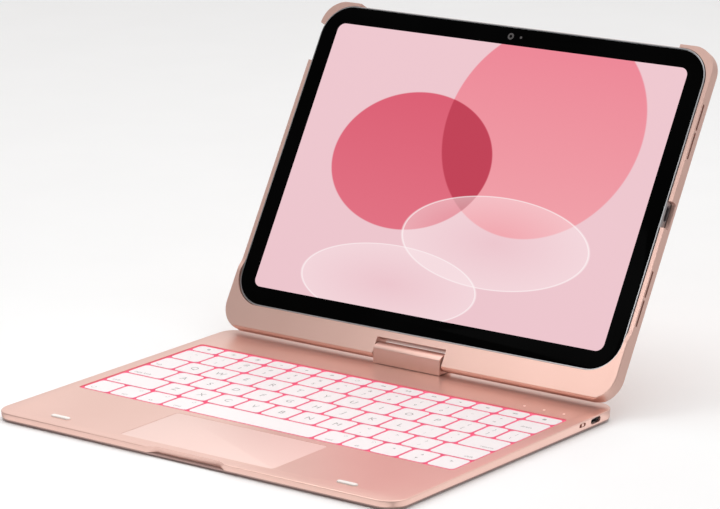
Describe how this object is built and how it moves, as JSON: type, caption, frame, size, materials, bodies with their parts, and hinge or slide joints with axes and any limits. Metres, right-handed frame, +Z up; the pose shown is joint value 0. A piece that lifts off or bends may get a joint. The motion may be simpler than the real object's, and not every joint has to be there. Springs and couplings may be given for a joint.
{
  "type": "tablet keyboard case",
  "caption": "Thin wedge keyboard base with backlit keys and trackpad, joined by a swivelling and tilting hinge block to a tray lid that holds a tablet.",
  "frame": {"origin": "bottom centre of the whole object's box at rest, on the surface that the feet stand on", "axes": "+X to the user's right, +Y from the user towards the lid, +Z up"},
  "size_m": [0.254, 0.2924, 0.1799],
  "materials": {
    "deck_shell": "rose gold anodised, satin",
    "bottom_cover": "dark rose paint, satin",
    "foot_front_left": "matte",
    "foot_front_right": "matte",
    "foot_rear_left": "matte",
    "foot_rear_right": "matte",
    "backlight_sheet": "translucent, lit pink",
    "key_plate": "bare sheet",
    "circuit_board": "solder mask",
    "battery_left": "dark foil pouch",
    "battery_right": "dark foil pouch",
    "charge_port": "bare metal",
    "light_pipe": "clear, pale",
    "trackpad_switch": "bare metal",
    "bumper_left": "pale, matte",
    "bumper_right": "pale, matte",
    "swivel_bushing": "turned",
    "hinge_block": "rose gold anodised, satin",
    "swivel_post": "turned",
    "friction_sleeve": "dark spring steel",
    "lid_tray": "rose gold metallic paint, satin",
    "lid_lining": "thin felt",
    "tilt_shaft": "ground",
    "tablet_shell": "silver anodised",
    "tablet_glass": "black, polished",
    "display_panel": "lit picture, polished",
    "tablet_core": "dark foil pouch",
    "trackpad_plate": "rose gold coated, satin",
    "power_slider": "satin",
    "keycap": "white, satin"
  },
  "bodies": {
    "base": {"deck_shell": "deck_shell", "bottom_cover": "bottom_cover", "foot_front_left": "foot_front_left", "foot_front_right": "foot_front_right", "foot_rear_left": "foot_rear_left", "foot_rear_right": "foot_rear_right", "backlight_sheet": "backlight_sheet", "key_plate": "key_plate", "circuit_board": "circuit_board", "battery_left": "battery_left", "battery_right": "battery_right", "charge_port": "charge_port", "light_pipe": "light_pipe", "trackpad_switch": "trackpad_switch", "bumper_left": "bumper_left", "bumper_right": "bumper_right", "swivel_bushing": "swivel_bushing"},
    "hinge": {"hinge_block": "hinge_block", "swivel_post": "swivel_post", "friction_sleeve": "friction_sleeve"},
    "lid": {"lid_tray": "lid_tray", "lid_lining": "lid_lining", "tilt_shaft": "tilt_shaft"},
    "tablet": {"tablet_shell": "tablet_shell", "tablet_glass": "tablet_glass", "display_panel": "display_panel", "tablet_core": "tablet_core"},
    "trackpad": {"trackpad_plate": "trackpad_plate"},
    "power_switch": {"power_slider": "power_slider"},
    "key_a": {"key_a": "keycap"},
    "key_b": {"key_b": "keycap"},
    "key_c": {"key_c": "keycap"},
    "key_d": {"key_d": "keycap"},
    "key_e": {"key_e": "keycap"},
    "key_f": {"key_f": "keycap"},
    "key_g": {"key_g": "keycap"},
    "key_h": {"key_h": "keycap"},
    "key_i": {"key_i": "keycap"},
    "key_j": {"key_j": "keycap"},
    "key_k": {"key_k": "keycap"},
    "key_l": {"key_l": "keycap"},
    "key_m": {"key_m": "keycap"},
    "key_n": {"key_n": "keycap"},
    "key_o": {"key_o": "keycap"},
    "key_p": {"key_p": "keycap"},
    "key_q": {"key_q": "keycap"},
    "key_r": {"key_r": "keycap"},
    "key_s": {"key_s": "keycap"},
    "key_t": {"key_t": "keycap"},
    "key_u": {"key_u": "keycap"},
    "key_v": {"key_v": "keycap"},
    "key_w": {"key_w": "keycap"},
    "key_x": {"key_x": "keycap"},
    "key_y": {"key_y": "keycap"},
    "key_z": {"key_z": "keycap"},
    "key_space": {"key_space": "keycap"},
    "function_keys": {"function_keys": "keycap"},
    "number_keys": {"number_keys": "keycap"},
    "left_keys": {"left_keys": "keycap"},
    "right_keys": {"right_keys": "keycap"}
  },
  "joints": [
    {"name": "swivel", "type": "hinge", "parent": "base", "child": "hinge", "pos_m": [0, 0.04563, 0.00675], "axis": [0, -0.0091, 1], "range_deg": [-180, 180]},
    {"name": "lid_tilt", "type": "hinge", "parent": "hinge", "child": "lid", "pos_m": [0, 0.04557, 0.0132], "axis": [1, 0, 0], "range_deg": [-59.3, 120.6]},
    {"name": "tablet_slide", "type": "slide", "parent": "lid", "child": "tablet", "axis": [0, -0.8646, 0.5024], "range_m": [0, 0.02]},
    {"name": "trackpad_click", "type": "hinge", "parent": "base", "child": "trackpad", "pos_m": [0, -0.09315, 0.00483], "axis": [1, 0, 0], "range_deg": [0, 0.5], "stiffness_Nm_per_rad": 8},
    {"name": "power_slide", "type": "slide", "parent": "base", "child": "power_switch", "axis": [0, 1, 0.0091], "range_m": [-0.0018, 0.0012]},
    {"name": "press_a", "type": "slide", "parent": "base", "child": "key_a", "axis": [0, 0.0091, -1], "range_m": [0, 0.001], "stiffness_N_per_m": 600},
    {"name": "press_b", "type": "slide", "parent": "base", "child": "key_b", "axis": [0, 0.0091, -1], "range_m": [0, 0.001], "stiffness_N_per_m": 600},
    {"name": "press_c", "type": "slide", "parent": "base", "child": "key_c", "axis": [0, 0.0091, -1], "range_m": [0, 0.001], "stiffness_N_per_m": 600},
    {"name": "press_d", "type": "slide", "parent": "base", "child": "key_d", "axis": [0, 0.0091, -1], "range_m": [0, 0.001], "stiffness_N_per_m": 600},
    {"name": "press_e", "type": "slide", "parent": "base", "child": "key_e", "axis": [0, 0.0091, -1], "range_m": [0, 0.001], "stiffness_N_per_m": 600},
    {"name": "press_f", "type": "slide", "parent": "base", "child": "key_f", "axis": [0, 0.0091, -1], "range_m": [0, 0.001], "stiffness_N_per_m": 600},
    {"name": "press_g", "type": "slide", "parent": "base", "child": "key_g", "axis": [0, 0.0091, -1], "range_m": [0, 0.001], "stiffness_N_per_m": 600},
    {"name": "press_h", "type": "slide", "parent": "base", "child": "key_h", "axis": [0, 0.0091, -1], "range_m": [0, 0.001], "stiffness_N_per_m": 600},
    {"name": "press_i", "type": "slide", "parent": "base", "child": "key_i", "axis": [0, 0.0091, -1], "range_m": [0, 0.001], "stiffness_N_per_m": 600},
    {"name": "press_j", "type": "slide", "parent": "base", "child": "key_j", "axis": [0, 0.0091, -1], "range_m": [0, 0.001], "stiffness_N_per_m": 600},
    {"name": "press_k", "type": "slide", "parent": "base", "child": "key_k", "axis": [0, 0.0091, -1], "range_m": [0, 0.001], "stiffness_N_per_m": 600},
    {"name": "press_l", "type": "slide", "parent": "base", "child": "key_l", "axis": [0, 0.0091, -1], "range_m": [0, 0.001], "stiffness_N_per_m": 600},
    {"name": "press_m", "type": "slide", "parent": "base", "child": "key_m", "axis": [0, 0.0091, -1], "range_m": [0, 0.001], "stiffness_N_per_m": 600},
    {"name": "press_n", "type": "slide", "parent": "base", "child": "key_n", "axis": [0, 0.0091, -1], "range_m": [0, 0.001], "stiffness_N_per_m": 600},
    {"name": "press_o", "type": "slide", "parent": "base", "child": "key_o", "axis": [0, 0.0091, -1], "range_m": [0, 0.001], "stiffness_N_per_m": 600},
    {"name": "press_p", "type": "slide", "parent": "base", "child": "key_p", "axis": [0, 0.0091, -1], "range_m": [0, 0.001], "stiffness_N_per_m": 600},
    {"name": "press_q", "type": "slide", "parent": "base", "child": "key_q", "axis": [0, 0.0091, -1], "range_m": [0, 0.001], "stiffness_N_per_m": 600},
    {"name": "press_r", "type": "slide", "parent": "base", "child": "key_r", "axis": [0, 0.0091, -1], "range_m": [0, 0.001], "stiffness_N_per_m": 600},
    {"name": "press_s", "type": "slide", "parent": "base", "child": "key_s", "axis": [0, 0.0091, -1], "range_m": [0, 0.001], "stiffness_N_per_m": 600},
    {"name": "press_t", "type": "slide", "parent": "base", "child": "key_t", "axis": [0, 0.0091, -1], "range_m": [0, 0.001], "stiffness_N_per_m": 600},
    {"name": "press_u", "type": "slide", "parent": "base", "child": "key_u", "axis": [0, 0.0091, -1], "range_m": [0, 0.001], "stiffness_N_per_m": 600},
    {"name": "press_v", "type": "slide", "parent": "base", "child": "key_v", "axis": [0, 0.0091, -1], "range_m": [0, 0.001], "stiffness_N_per_m": 600},
    {"name": "press_w", "type": "slide", "parent": "base", "child": "key_w", "axis": [0, 0.0091, -1], "range_m": [0, 0.001], "stiffness_N_per_m": 600},
    {"name": "press_x", "type": "slide", "parent": "base", "child": "key_x", "axis": [0, 0.0091, -1], "range_m": [0, 0.001], "stiffness_N_per_m": 600},
    {"name": "press_y", "type": "slide", "parent": "base", "child": "key_y", "axis": [0, 0.0091, -1], "range_m": [0, 0.001], "stiffness_N_per_m": 600},
    {"name": "press_z", "type": "slide", "parent": "base", "child": "key_z", "axis": [0, 0.0091, -1], "range_m": [0, 0.001], "stiffness_N_per_m": 600},
    {"name": "press_space", "type": "slide", "parent": "base", "child": "key_space", "axis": [0, 0.0091, -1], "range_m": [0, 0.001], "stiffness_N_per_m": 600},
    {"name": "press_function_keys", "type": "slide", "parent": "base", "child": "function_keys", "axis": [0, 0.0091, -1], "range_m": [0, 0.001], "stiffness_N_per_m": 8400},
    {"name": "press_number_keys", "type": "slide", "parent": "base", "child": "number_keys", "axis": [0, 0.0091, -1], "range_m": [0, 0.001], "stiffness_N_per_m": 8400},
    {"name": "press_left_keys", "type": "slide", "parent": "base", "child": "left_keys", "axis": [0, 0.0091, -1], "range_m": [0, 0.001], "stiffness_N_per_m": 4200},
    {"name": "press_right_keys", "type": "slide", "parent": "base", "child": "right_keys", "axis": [0, 0.0091, -1], "range_m": [0, 0.001], "stiffness_N_per_m": 9000}
  ]
}
